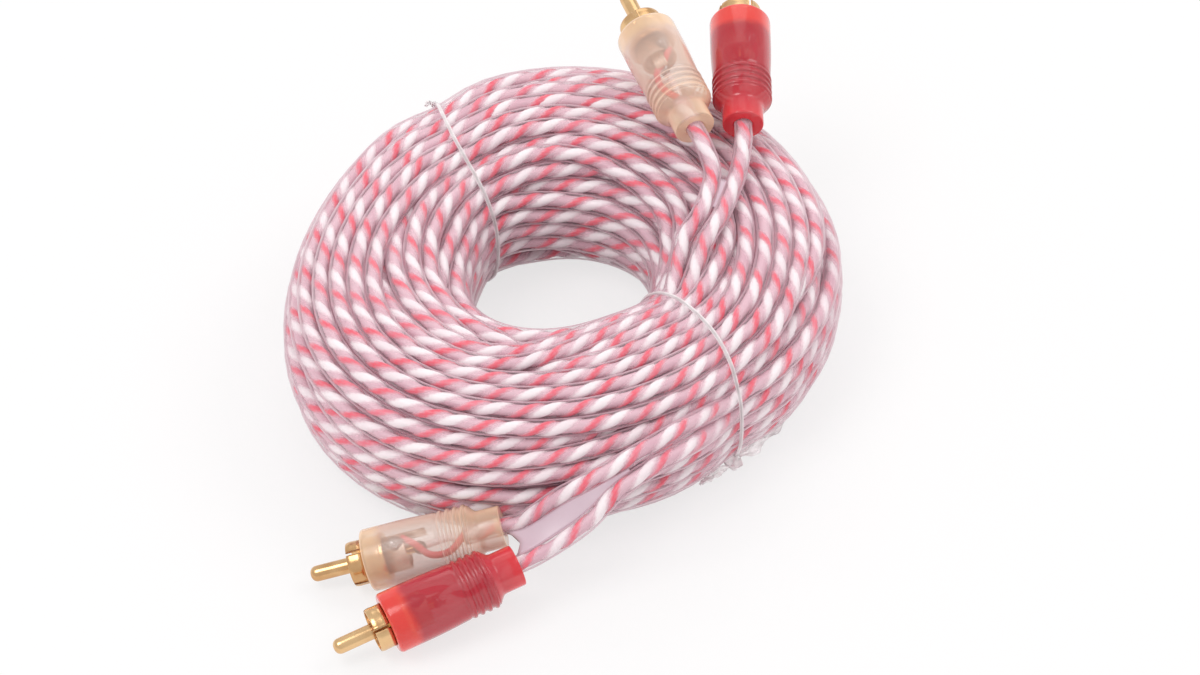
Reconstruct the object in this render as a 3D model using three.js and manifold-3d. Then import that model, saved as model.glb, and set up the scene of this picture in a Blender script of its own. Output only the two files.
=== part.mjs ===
// Coiled stereo phono lead: a jacketed twin lead wound into a round coil, held by two wire ties,
// with a clear and a red moulded plug at each end.
// Millimetres, +Z up. X runs to the right and Y away from the viewer. The coil lies flat on Z = 0.

import * as THREE from 'three';
import { mergeVertices } from 'three/addons/utils/BufferGeometryUtils.js';
import Module from 'manifold-3d';

const wasm = await Module();
wasm.setup();

// Clearances
const seatGap = 0.3; // between neighbouring pieces

// Lead: two round jackets side by side, each with a red and a white core
const leadDiameter = 3.8;
const leadSides = 8;
const leadStep = 9; // about the length of one straight stretch of a lead's tube
const leadEndSteps = 3; // further steps, for the bends near the mouth
const coreDiameter = 1.4;
const coreSpacing = 1.7; // between the two core centres inside a jacket
const coreSides = 6;

// Coil of turns, seen in section as a rounded box that is turned round the coil's axis
const coilInnerRadius = 17.9;
const coilOuterRadius = 57.1;
const coilHeight = 35;
const sectionExponent = 2.6; // 2 is an ellipse, more is squarer
const turnPitch = 3.9; // from one turn to the next on the coil's skin
const turnRelief = 0.8; // depth of the valley between two turns
const coilSegments = 22;
const coilFloorFlat = 0.35; // how far the lowest turns are pressed flat
const coilOval = 0.07; // the hand-wound coil is this share longer one way and shorter across it
const coilOvalBearing = 45; // degrees from +X to the long way

// The coil's axis stands this far behind the middle of the whole footprint
const coilCentreY = 10.8;

// Moulded plug, along its own axis from the mouth, where the lead goes in, to the pin's tip
const bodyLength = 28.3;
const bodyRadius = 6.1;
const bodyWaistRadius = 5.9; // just in front of the ribs
const bodySegments = 14;
const neckRadius = 4.15;
const neckLength = 4.8;
const neckEdge = 0.35;
const shoulderLength = 1.6;
const ribCount = 4;
const ribPitch = 1.6;
const ribRadius = 6.25;
const ribValleyRadius = 5.7;
const frontRound = 0.8;
const leadSeatDepth = 8; // how deep the jacket goes into the neck

// Ground shell: a slotted collar in front of a flange, with a sleeve and a solder tongue behind it
const collarRadius = 4.5;
const collarWall = 0.45;
const collarReach = 3.3; // in front of the moulded body
const collarEdge = 0.25;
const collarDepth = 3.4; // from the body's front face back to the flange
const collarSlotWidth = 0.7;
const collarSlotLength = 3.6;
const flangeRadius = 5;
const flangeThickness = 0.9;
const shellFloor = 0.6;
const sleeveRadius = 3.7;
const sleeveWall = 0.5;
const sleeveLength = 4.3;
const tongueLength = 4;
const tongueWidth = 2.6;

// Centre pin and the insulator that holds it
const pinRadius = 1.6;
const pinReach = 8.4; // in front of the collar
const pinTipLength = 1.4;
const pinTailRadius = 0.8;
const pinTailLength = 4;
const pinSegments = 10;
const pinShankDepth = 3.6; // thick part behind the flange
const insulatorFlangeThickness = 1;

// Wire ties
const tieRadius = 0.5;
const tieSides = 5;
const tieLoopSteps = 30;
const tieLoopOpening = 0.035; // share of the way round that the loop stops short of the twist
const tieTwistPitch = 4.2;
const tieTwistSteps = 5; // in each turn of the twist
const tieTwistRadius = 0.8;
const tieChannelRadius = 1.8; // of the round-bottomed channel that a tie presses into the coil
const tieChannelDepth = 1.7;

const tieTwistStandOff = tieTwistRadius + tieRadius + 2 * seatGap; // the twist's middle, from the skin
const leadRadius = leadDiameter / 2;
const coreRadius = coreDiameter / 2;
const coilMeanRadius = (coilInnerRadius + coilOuterRadius) / 2;
const sectionHalfWidth = (coilOuterRadius - coilInnerRadius) / 2;
const sectionHalfHeight = coilHeight / 2;
const flangeBack = bodyLength - collarDepth - flangeThickness;
const collarFront = bodyLength + collarReach;
const pinTip = collarFront + pinReach;

const plastic = (color, roughness) => new THREE.MeshStandardMaterial({ color, roughness, metalness: 0 });
const metal = (color, roughness) => new THREE.MeshStandardMaterial({ color, roughness, metalness: 1 });
const finishes = {
  jacket: () => plastic(0xd8b4bc, 0.35),
  clearPlug: () => plastic(0xebcdb4, 0.3),
  redPlug: () => plastic(0xcd3c46, 0.3),
  gold: () => metal(0xd9b070, 0.25),
  insulator: () => plastic(0xf0ece4, 0.5),
  redCore: () => plastic(0xe2485a, 0.45),
  whiteCore: () => plastic(0xf5ebee, 0.45),
  tie: () => plastic(0xeee9e6, 0.3),
};

// A solid turned round the Y axis. The outline runs round its section, up on the outside.
function turned(outline, segments) {
  const points = outline.map(([radius, height]) => new THREE.Vector2(radius, height));
  return new THREE.LatheGeometry(points, segments);
}

function closed(outline) {
  return [...outline, outline[0]];
}

// A round bar of flat sides along a curve
function bar(curve, radius, sides, steps) {
  const section = new THREE.Shape();
  for (let side = 0; side < sides; side += 1) {
    const angle = (2 * Math.PI * (side + 0.5)) / sides;
    const x = radius * Math.cos(angle);
    const y = radius * Math.sin(angle);
    if (side === 0) section.moveTo(x, y);
    else section.lineTo(x, y);
  }
  section.closePath();
  return new THREE.ExtrudeGeometry(section, { steps, bevelEnabled: false, extrudePath: curve });
}

function toSolid(geometry) {
  const bare = geometry.clone();
  bare.deleteAttribute('normal');
  bare.deleteAttribute('uv');
  const merged = mergeVertices(bare, 1e-4);
  return new wasm.Manifold(new wasm.Mesh({
    numProp: 3,
    vertProperties: Float32Array.from(merged.attributes.position.array),
    triVerts: Uint32Array.from(merged.index.array),
  }));
}

function toGeometry(solid) {
  const mesh = solid.getMesh();
  const geometry = new THREE.BufferGeometry();
  geometry.setAttribute('position', new THREE.BufferAttribute(mesh.vertProperties, 3));
  geometry.setIndex(new THREE.BufferAttribute(mesh.triVerts, 1));
  geometry.computeVertexNormals();
  return geometry;
}

function cut(geometry, cutters) {
  return toGeometry(cutters.reduce((solid, cutter) => solid.subtract(toSolid(cutter)), toSolid(geometry)));
}

function part(name, geometry, finish) {
  const mesh = new THREE.Mesh(geometry, finish());
  mesh.name = name;
  return mesh;
}

// How much farther from the axis than in a round coil a turn lies at that bearing
function ovalShare(bearing) {
  return 1 + coilOval * Math.cos(2 * (bearing - THREE.MathUtils.degToRad(coilOvalBearing)));
}

function onCoilAt(radius, bearing, height) {
  const reach = radius * ovalShare(bearing);
  return new THREE.Vector3(reach * Math.cos(bearing), reach * Math.sin(bearing), height);
}

// The coil's section, grown outwards by a margin, as a closed curve of radius and height
class CoilSection extends THREE.Curve {
  constructor(margin) {
    super();
    this.halfWidth = sectionHalfWidth + margin;
    this.halfHeight = sectionHalfHeight + margin;
    this.arcLengthDivisions = 720;
  }

  getPoint(t, target = new THREE.Vector2()) {
    const bend = (value) => Math.sign(value) * Math.abs(value) ** (2 / sectionExponent);
    const angle = 2 * Math.PI * t;
    const radius = coilMeanRadius + this.halfWidth * bend(Math.cos(angle));
    const height = sectionHalfHeight + this.halfHeight * bend(Math.sin(angle));
    return target.set(radius, height);
  }
}

// One ridge for each turn that lies on the skin, flat on its crest, with a valley before the next
function coilOutline() {
  const skin = new CoilSection(0);
  const bed = new CoilSection(-turnRelief);
  const turns = Math.round(skin.getLength() / turnPitch);
  const outline = [];
  for (let turn = 0; turn < turns; turn += 1) {
    const valley = bed.getPointAt(turn / turns);
    outline.push([valley.x, Math.max(valley.y, turnRelief)]);
    for (const share of [0.3, 0.7]) {
      const crest = skin.getPointAt((turn + share) / turns);
      const height = crest.y < coilFloorFlat ? 0 : crest.y;
      outline.push([crest.x, height]);
    }
  }
  return outline;
}

function drawnOval(geometry) {
  const places = geometry.attributes.position;
  for (let i = 0; i < places.count; i += 1) {
    const share = ovalShare(Math.atan2(places.getY(i), places.getX(i)));
    places.setXY(i, places.getX(i) * share, places.getY(i) * share);
  }
  return geometry;
}

// Path of a wire tie: one end of the twisted pair, round the coil's section, and the other end.
// The loop leans: its bearing changes by the lean from the middle of the section to its outer side.
class TiePath extends THREE.Curve {
  constructor({ bearing, lean, knot, twistSense, twistTurns }) {
    super();
    this.bearing = THREE.MathUtils.degToRad(bearing);
    this.lean = THREE.MathUtils.degToRad(lean);
    this.knot = knot;
    this.twistSense = twistSense;
    this.twistTurns = twistTurns;
    this.twistSteps = twistTurns * tieTwistSteps;
    this.steps = 2 * this.twistSteps + tieLoopSteps;
    this.loop = new CoilSection(-tieRadius - seatGap / 2);
    this.stand = new CoilSection(tieTwistStandOff);
    this.channel = new CoilSection(tieChannelRadius - tieChannelDepth);
  }

  bearingAt(radius) {
    return this.bearing + (this.lean * (radius - coilMeanRadius)) / sectionHalfWidth;
  }

  onSection(section, share) {
    const { x: radius, y: height } = section.getPointAt(THREE.MathUtils.euclideanModulo(share, 1));
    return onCoilAt(radius, this.bearingAt(radius), height);
  }

  // Point of one twisted end, as far out along the twist as the share says
  onTwist(share, end) {
    const reach = share * this.twistTurns * tieTwistPitch;
    const turn = share * this.twistTurns * 2 * Math.PI + (end > 0 ? 0 : Math.PI);
    const middle = this.stand.getPointAt(this.knot);
    const radius = middle.x + tieTwistRadius * Math.cos(turn);
    const height = middle.y + tieTwistRadius * Math.sin(turn);
    const bearing = this.bearingAt(middle.x) + (this.twistSense * (reach + tieTwistPitch / 4)) / middle.x;
    return onCoilAt(radius, bearing, height);
  }

  getPoint(t, target = new THREE.Vector3()) {
    const twistShare = this.twistSteps / this.steps;
    if (t < twistShare) return target.copy(this.onTwist(1 - t / twistShare, 1));
    if (t > 1 - twistShare) return target.copy(this.onTwist(1 - (1 - t) / twistShare, -1));
    const loopShare = (t - twistShare) / (1 - 2 * twistShare);
    const along = THREE.MathUtils.lerp(tieLoopOpening, 1 - tieLoopOpening, loopShare);
    return target.copy(this.onSection(this.loop, this.knot + along));
  }

  // The steps stay as shared out above, close together in the twist
  getUtoTmapping(u) {
    return u;
  }
}

const ties = {
  left_wire_tie: new TiePath({ bearing: 127, lean: -9, knot: 0.13, twistSense: 1, twistTurns: 1 }),
  right_wire_tie: new TiePath({ bearing: -39, lean: -8, knot: 0.94, twistSense: -1, twistTurns: 3 }),
};

// Each pair of ends lies against one side of the coil, and its points are measured from there:
// the front pair from the coil's front on the floor, the back pair from the coil's top
const frontOfCoil = [0, -coilOuterRadius, 0];
const topOfCoil = [0, 0, coilHeight];

// Where each plug lies: its mouth, the way its pin points, the roll about its own axis,
// and the route of its lead from the mouth to where it joins the coil
const plugs = {
  front_clear: {
    from: frontOfCoil,
    mouth: [-11.1, -4.6, 13.6],
    points: [-0.962, -0.09, -0.262],
    roll: 60,
    route: [[0.2, -3.2, 20.8], [5, -2.7, 23.8], [10, -1.1, 26.2], [16, 1.5, 28.6],
      [22, 5.8, 29.1], [26.6, 10.8, 27.5], [30.6, 15.8, 25.5]],
  },
  front_red: {
    from: frontOfCoil,
    mouth: [-8.2, -15, 11.8],
    points: [-0.903, -0.383, -0.195],
    roll: 120,
    route: [[5.1, -8.2, 17.8], [11.8, -3.9, 23.2], [17.8, -0.9, 26], [23.9, 3.7, 26.3],
      [28.2, 8.9, 24.4], [32.1, 15, 21.8]],
  },
  back_clear: {
    from: topOfCoil,
    mouth: [27.6, 23.3, 7.2],
    points: [-0.357, 0.931, 0.08],
    roll: -20,
    route: [[31, 13.6, 4.6], [30.2, 8.3, 3.3], [28.2, 2.9, 2.1], [25.2, -1.8, 0.2],
      [22.6, -5.4, -2.8], [20.8, -8.6, -5.2]],
  },
  back_red: {
    from: topOfCoil,
    mouth: [37.5, 26.9, 4.7],
    points: [-0.01, 0.995, 0.1],
    roll: 30,
    route: [[36.4, 15, 3], [34.6, 8.7, 2.3], [32.5, 2.7, 1.9], [29.8, -2.6, 1.2],
      [27, -6.6, -0.8], [25, -10.8, -3]],
  },
};

const plugFinishes = {
  front_clear: finishes.clearPlug,
  front_red: finishes.redPlug,
  back_clear: finishes.clearPlug,
  back_red: finishes.redPlug,
};

function bodyOutline() {
  const ribsStart = neckLength + shoulderLength;
  const ribsEnd = ribsStart + ribCount * ribPitch;
  const outline = [
    [leadRadius + seatGap, 0],
    [neckRadius - neckEdge, 0],
    [neckRadius, neckEdge],
    [neckRadius, neckLength],
    [(neckRadius + ribValleyRadius) / 2, neckLength + 0.4 * shoulderLength],
  ];
  for (let rib = 0; rib < ribCount; rib += 1) {
    const start = ribsStart + rib * ribPitch;
    outline.push([ribValleyRadius, start]);
    outline.push([ribRadius, start + 0.35 * ribPitch]);
    outline.push([ribRadius, start + 0.65 * ribPitch]);
  }
  outline.push([bodyWaistRadius, ribsEnd]);
  outline.push([bodyRadius, flangeBack]);
  for (const angle of [0, Math.PI / 4, Math.PI / 2]) {
    outline.push([
      bodyRadius - frontRound * (1 - Math.cos(angle)),
      bodyLength - frontRound * (1 - Math.sin(angle)),
    ]);
  }
  // The bore steps down from the collar to the flange, the sleeve and the lead
  const tongueBack = flangeBack - sleeveLength - tongueLength - seatGap;
  outline.push([collarRadius + seatGap, bodyLength]);
  outline.push([collarRadius + seatGap, flangeBack + flangeThickness + seatGap]);
  outline.push([flangeRadius + seatGap, flangeBack + flangeThickness + seatGap]);
  outline.push([flangeRadius + seatGap, flangeBack - seatGap]);
  outline.push([sleeveRadius + seatGap, flangeBack - seatGap]);
  outline.push([sleeveRadius + seatGap, tongueBack]);
  outline.push([leadRadius + seatGap, tongueBack]);
  return outline;
}

function groundShell() {
  const sleeveInner = sleeveRadius - sleeveWall;
  const collarInner = collarRadius - collarWall;
  const sleeveBack = flangeBack - sleeveLength;
  const tongueBack = sleeveBack - tongueLength;
  const outline = [
    [sleeveInner, tongueBack],
    [sleeveRadius, tongueBack],
    [sleeveRadius, flangeBack],
    [flangeRadius, flangeBack],
    [flangeRadius, flangeBack + flangeThickness],
    [collarRadius, flangeBack + flangeThickness],
    [collarRadius, collarFront - collarEdge],
    [collarRadius - collarEdge / 2, collarFront],
    [collarInner, collarFront],
    [collarInner, flangeBack + shellFloor],
    [sleeveInner, flangeBack + shellFloor],
  ];
  // Four slots let the collar spring
  const slot = new THREE.BoxGeometry(3 * collarRadius, 2 * collarSlotLength, collarSlotWidth);
  slot.translate(0, collarFront, 0);
  const crossSlot = slot.clone().rotateY(Math.PI / 2);
  // Behind the sleeve only the tongue is left
  const waste = new THREE.BoxGeometry(3 * sleeveRadius, 2 * tongueLength, 3 * sleeveRadius);
  const beside = waste.clone().translate(0, sleeveBack - tongueLength, 0);
  const sideCuts = [-1, 1].map((side) => beside.clone()
    .translate(side * (1.5 * sleeveRadius + tongueWidth / 2), 0, 0));
  const lowCut = beside.clone().translate(0, 0, -1.5 * sleeveRadius);
  return cut(turned(closed(outline), bodySegments), [slot, crossSlot, ...sideCuts, lowCut]);
}

function centrePin() {
  const shankBack = flangeBack - pinShankDepth;
  return turned([
    [0, shankBack - pinTailLength],
    [pinTailRadius, shankBack - pinTailLength],
    [pinTailRadius, shankBack],
    [pinRadius, shankBack],
    [pinRadius, pinTip - pinTipLength],
    [0.78 * pinRadius, pinTip - 0.4 * pinTipLength],
    [0.4 * pinRadius, pinTip - 0.08 * pinTipLength],
    [0, pinTip],
  ], pinSegments);
}

function pinInsulator() {
  const bore = pinRadius + seatGap;
  const stem = sleeveRadius - sleeveWall - seatGap;
  const rim = collarRadius - collarWall - seatGap;
  const seat = flangeBack + shellFloor + seatGap;
  return turned(closed([
    [bore, flangeBack - pinShankDepth + seatGap],
    [stem, flangeBack - pinShankDepth + seatGap],
    [stem, seat],
    [rim, seat],
    [rim, seat + insulatorFlangeThickness],
    [bore, seat + insulatorFlangeThickness],
  ]), bodySegments);
}

// The two cores run from the jacket's cut end: one to the pin's tail, one to the shell's tongue
function cores() {
  const start = leadSeatDepth + seatGap;
  const side = coreSpacing / 2;
  const pinTailBack = flangeBack - pinShankDepth - pinTailLength - seatGap;
  const tongueBack = flangeBack - sleeveLength - tongueLength;
  const tongueSide = sleeveRadius - sleeveWall - seatGap - coreRadius;
  const signal = new THREE.CatmullRomCurve3([
    new THREE.Vector3(0, start, -side),
    new THREE.Vector3(0, (start + pinTailBack) / 2, -side),
    new THREE.Vector3(0, pinTailBack - coreRadius, -0.4 * side),
    new THREE.Vector3(0, pinTailBack, -0.3 * side),
  ]);
  const ground = new THREE.CatmullRomCurve3([
    new THREE.Vector3(0, start, side),
    new THREE.Vector3(0, (start + tongueBack) / 2, side),
    new THREE.Vector3(0, tongueBack - coreRadius, side + 0.25 * (tongueSide - side)),
    new THREE.Vector3(0, tongueBack + 0.4 * tongueLength, tongueSide - 0.05),
    new THREE.Vector3(0, tongueBack + 0.7 * tongueLength, tongueSide),
  ]);
  return {
    signal: bar(signal, coreRadius, coreSides, 6),
    ground: bar(ground, coreRadius, coreSides, 7),
  };
}

function placeFrom(from, point) {
  return new THREE.Vector3(...from).add(new THREE.Vector3(...point));
}

function plugPlacement({ from, mouth, points, roll }) {
  const holder = new THREE.Group();
  holder.position.copy(placeFrom(from, mouth));
  const swing = new THREE.Quaternion()
    .setFromUnitVectors(new THREE.Vector3(0, 1, 0), new THREE.Vector3(...points).normalize());
  const spin = new THREE.Quaternion()
    .setFromAxisAngle(new THREE.Vector3(0, 1, 0), THREE.MathUtils.degToRad(roll));
  holder.quaternion.copy(swing).multiply(spin);
  return holder;
}

function leadCurve({ from, mouth, points, route }) {
  const start = placeFrom(from, mouth);
  const forward = new THREE.Vector3(...points).normalize();
  const seated = start.clone().addScaledVector(forward, leadSeatDepth);
  const atMouth = start.clone();
  const outside = start.clone().addScaledVector(forward, -leadDiameter);
  const rest = route.map((point) => placeFrom(from, point));
  return new THREE.CatmullRomCurve3([seated, atMouth, outside, ...rest], false, 'centripetal');
}

const cable = new THREE.Group();
cable.position.set(0, coilCentreY, 0);

// A channel goes all round the section. It is cut as two halves that overlap, since a bar has two ends.
function channelCutters(path) {
  const overlap = 0.01;
  return [0, 0.5].map((from) => {
    const half = new THREE.CatmullRomCurve3(Array.from({ length: tieLoopSteps }, (_, step) => {
      const share = from + THREE.MathUtils.lerp(-overlap, 0.5 + overlap, step / (tieLoopSteps - 1));
      return path.onSection(path.channel, share);
    }));
    return bar(half, tieChannelRadius, tieSides, tieLoopSteps / 2);
  });
}

function leadBar(plug, radius) {
  const curve = leadCurve(plug);
  return bar(curve, radius, leadSides, Math.round(curve.getLength() / leadStep) + leadEndSteps);
}

// The coil, with channels where the ties and the ends of the leads bed into it
const coilBlank = drawnOval(turned(closed(coilOutline()), coilSegments).rotateX(Math.PI / 2));
const tieChannels = Object.values(ties).flatMap(channelCutters);
const leadChannels = Object.values(plugs).map((plug) => leadBar(plug, leadRadius + seatGap));
cable.add(part('coil_bundle', cut(coilBlank, [...tieChannels, ...leadChannels]), finishes.jacket));

for (const [name, path] of Object.entries(ties)) {
  cable.add(part(name, bar(path, tieRadius, tieSides, path.steps), finishes.tie));
}

for (const [name, plug] of Object.entries(plugs)) {
  cable.add(part(`${name}_lead`, leadBar(plug, leadRadius), finishes.jacket));
  const holder = plugPlacement(plug);
  const { signal, ground } = cores();
  holder.add(part(`${name}_plug_body`, turned(closed(bodyOutline()), bodySegments), plugFinishes[name]));
  holder.add(part(`${name}_ground_shell`, groundShell(), finishes.gold));
  holder.add(part(`${name}_centre_pin`, centrePin(), finishes.gold));
  holder.add(part(`${name}_pin_insulator`, pinInsulator(), finishes.insulator));
  holder.add(part(`${name}_signal_core`, signal, finishes.whiteCore));
  holder.add(part(`${name}_ground_core`, ground, finishes.redCore));
  cable.add(holder);
}

export default cable;
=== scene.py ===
import math
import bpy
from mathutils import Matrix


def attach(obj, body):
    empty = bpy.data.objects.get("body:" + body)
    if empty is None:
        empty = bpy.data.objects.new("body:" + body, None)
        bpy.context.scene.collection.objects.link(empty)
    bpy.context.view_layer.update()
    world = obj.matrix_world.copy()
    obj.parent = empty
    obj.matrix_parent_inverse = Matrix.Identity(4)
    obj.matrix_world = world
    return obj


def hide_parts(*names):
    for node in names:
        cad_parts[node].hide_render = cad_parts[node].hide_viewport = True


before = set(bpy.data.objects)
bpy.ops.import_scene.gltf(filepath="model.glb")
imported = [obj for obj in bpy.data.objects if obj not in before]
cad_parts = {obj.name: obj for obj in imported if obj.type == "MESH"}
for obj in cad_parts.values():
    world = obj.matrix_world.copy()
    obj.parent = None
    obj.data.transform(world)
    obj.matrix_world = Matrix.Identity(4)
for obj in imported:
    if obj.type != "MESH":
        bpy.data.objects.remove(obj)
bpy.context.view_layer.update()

from types import SimpleNamespace

import bpy
import numpy as np
from mathutils import Quaternion, Vector
from numpy.linalg import norm

mm = 0.001
coilCentreY = 10.8  # mm from the middle of the footprint to the coil's axis, as in the CAD


# Coil-centred millimetres to metres in the row frame
def toFrame(point):
    return Vector((point[0], point[1] + coilCentreY, point[2])) * mm


# Camera, at the photograph's angle
viewpoint = {
    "elevation": 45.0,  # degrees above the table
    "distance": 1300.0,  # mm
    "pixelsPerMm": 4.83,  # at the coil, in the 1200 x 675 picture
    "pictureWidth": 1200,
    "pictureHeight": 675,
    "coilPixel": (561.0, 354.0),  # where the coil's axis meets the table
    "sensorWidth": 36.0,
}


def placeCamera():
    v = viewpoint
    tilt = math.radians(v["elevation"])
    right = Vector((1, 0, 0))
    up = Vector((0, math.sin(tilt), math.cos(tilt)))
    forward = Vector((0, math.cos(tilt), -math.sin(tilt)))
    across = (v["coilPixel"][0] - v["pictureWidth"] / 2) / v["pixelsPerMm"]
    above = (v["pictureHeight"] / 2 - v["coilPixel"][1]) / v["pixelsPerMm"]
    target = toFrame((0, 0, 0)) - (right * across + up * above) * mm
    data = bpy.data.cameras.new("photoCamera")
    data.sensor_width = v["sensorWidth"]
    data.lens = v["sensorWidth"] * v["pixelsPerMm"] * v["distance"] / v["pictureWidth"]
    data.clip_start = 0.05
    data.clip_end = 20
    cameraObject = bpy.data.objects.new("photoCamera", data)
    cameraObject.location = target - forward * v["distance"] * mm
    cameraObject.rotation_mode = "QUATERNION"
    cameraObject.rotation_quaternion = forward.to_track_quat("-Z", "Y")
    bpy.context.scene.collection.objects.link(cameraObject)
    bpy.context.scene.camera = cameraObject


placeCamera()
print("camera placed")


# A mesh object in the scene, with a UV for each corner of its faces where they are given
def makeObject(name, verts, faces, smooth=True, uvs=None):
    mesh = bpy.data.meshes.new(name)
    mesh.from_pydata([tuple(v) for v in verts], [], faces)
    mesh.update()
    if smooth:
        mesh.polygons.foreach_set("use_smooth", [True] * len(mesh.polygons))
    if uvs is not None:
        layer = mesh.uv_layers.new(name="along")
        layer.data.foreach_set("uv", np.asarray(uvs, dtype=float).ravel())
    obj = bpy.data.objects.new(name, mesh)
    bpy.context.scene.collection.objects.link(obj)
    return obj


# Length along a line up to each of its points
def lengthAlong(line):
    return np.concatenate([[0], np.cumsum(norm(np.diff(line, axis=0), axis=1))])


# Where a line is at the given lengths
def pointsAt(line, length, at):
    return np.stack([np.interp(at, length, line[:, k]) for k in range(line.shape[1])], axis=-1)


# Place at t of a point that leaves the first at begin and gets to the second at end
def mixed(t, begin, end, first, second):
    return (end - t) / (end - begin) * first + (t - begin) / (end - begin) * second


# Points along a centripetal curve through the given ones
def catmullRom(points, perSpan):
    pts = np.asarray(points, dtype=float)
    pts = np.vstack([2 * pts[0] - pts[1], pts, 2 * pts[-1] - pts[-2]])
    out = []
    for k in range(1, len(pts) - 2):
        p0, p1, p2, p3 = pts[k - 1:k + 3]
        t0 = 0.0
        t1 = t0 + norm(p1 - p0) ** 0.5
        t2 = t1 + norm(p2 - p1) ** 0.5
        t3 = t2 + norm(p3 - p2) ** 0.5
        for t in np.linspace(t1, t2, perSpan, endpoint=False):
            a1, a2, a3 = mixed(t, t0, t1, p0, p1), mixed(t, t1, t2, p1, p2), mixed(t, t2, t3, p2, p3)
            b1, b2 = mixed(t, t0, t2, a1, a2), mixed(t, t1, t3, a2, a3)
            out.append(mixed(t, t1, t2, b1, b2))
    out.append(pts[-2])
    return np.array(out)


# Directions along and across a line, carried along it with the least twist
def carriedFrames(line):
    along = np.gradient(line, axis=0)
    along /= norm(along, axis=1)[:, None]
    side = np.cross(along[0], (0.0, 0.0, 1.0))
    side /= norm(side)
    sides = [side]
    for k in range(1, len(line)):
        side = side - along[k] * (side @ along[k])
        side /= norm(side)
        sides.append(side)
    sides = np.array(sides)
    return along, sides, np.cross(along, sides)


# A skin over closed rings of points, capped at both ends. The UV has each ring's place, and the way round
# it or another value of each point.
def ringMesh(name, rings, places, values=None):
    n, m = rings.shape[:2]
    across = np.tile(np.arange(m + 1) / m, (n, 1)) if values is None else np.hstack([values, values[:, :1]])
    faces = [(k * m + j, k * m + (j + 1) % m, (k + 1) * m + (j + 1) % m, (k + 1) * m + j)
             for k in range(n - 1) for j in range(m)]
    corners = ((0, 0), (0, 1), (1, 1), (1, 0))
    uvs = [(places[k + a], across[k + a, j + b])
           for k in range(n - 1) for j in range(m) for a, b in corners]
    faces += [tuple(range(m))[::-1], tuple((n - 1) * m + j for j in range(m))]
    uvs += [(places[0], 0)] * m + [(places[-1], 0)] * m
    return makeObject(name, rings.reshape(-1, 3), faces, uvs=uvs)


# A tube of the given section, in mm, along a line of metres. One UV unit is one lay length.
def tube(name, line, section, layLength=1.0, around=None):
    line = np.asarray(line, dtype=float)
    section = np.asarray(section, dtype=float) * mm
    along, side, over = carriedFrames(line)
    rings = line[:, None] + side[:, None] * section[None, :, :1] + over[:, None] * section[None, :, 1:]
    length = lengthAlong(line)
    outness = None
    if around is not None:
        outness = norm(rings - around[:, None], axis=2) / (leadRadius * mm)
    return ringMesh(name, rings, length / (layLength * mm), outness)


def ellipse(halfWide, halfDeep, sides):
    angle = np.arange(sides) * 2 * math.pi / sides
    return np.stack([halfWide * np.cos(angle), halfDeep * np.sin(angle)], axis=1)


def roundSection(radius, sides):
    return ellipse(radius, radius, sides)


# Twin lead and the coil it is wound into. Lengths in mm, bearings in degrees.
coil = {
    "innerRadius": 17.9,
    "outerRadius": 57.1,
    "height": 35.0,
    "sectionExponent": 2.6,
    "swell": 1.012,
    "oval": 0.063,
    "ovalBearing": 54.0,
    "lobe": 0.024,  # three to the round
    "lobeBearing": -11.0,
    "leadDiameter": 3.8,
    "layerStep": 3.45,
    "skinSlots": 14,
    "emptySkinSlot": 10,  # kept for the last turn, which comes back up to the skin
    "firstShare": 0.055,  # place of the first turn round the section, from the outer side upwards
    "innerLayers": (11, 7),
    "startBearing": -48,
    "stepsPerTurn": 72,
    "endSteps": 4,  # past the last whole turn
    "pointsPerSpan": 5,
    "guestSlices": 3,
    "wander": 0.014,  # share of the way round the section that the turns stray together
    "wanderWaves": ((1, 2), (2, 3), (3, 1), (3, 4), (5, 2), (4, 5)),  # round the coil, and along the section
    "strayDepth": 0.5,
    "strayWaves": (0.37, 0.83, 1.31, 2.17),  # to a turn
    "rideRise": 0.35,  # share of a crossing in which the turn climbs, and again in which it sinks
    "seed": 11,
}

# How the turns settle. Pushes, pulls and smoothing are shares of what is missing, in each round.
settling = {
    "rounds": 220,
    "spacing": 1.01,  # lead diameters from middle to middle
    "push": 0.45,
    "guestPush": 0.9,
    "climb": 1.6,  # how strongly a riding turn is pushed outwards
    "twinPull": 0.3,
    "smoothing": 0.35,
    "smoothingPasses": 2,
    "outward": 0.05,  # mm
    "tieSqueeze": 1.5,  # mm
    "tieSqueezeReach": 8.0,  # mm
}

# Turns that ride over their neighbours: turn, bearing where it starts, how far it goes on, and slots moved
crossings = [
    (2, 150, 130, 1.6),
    (4, 235, 160, -1.0),
    (6, 20, 120, 1.5),
    (10, 60, 120, 1.3),
    (1, 20, 110, -1.2),
    (11, 330, 150, 1.4),
]

ties = {
    "left": {"bearing": 127, "lean": -9},
    "right": {"bearing": -39, "lean": -8},
}

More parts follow.
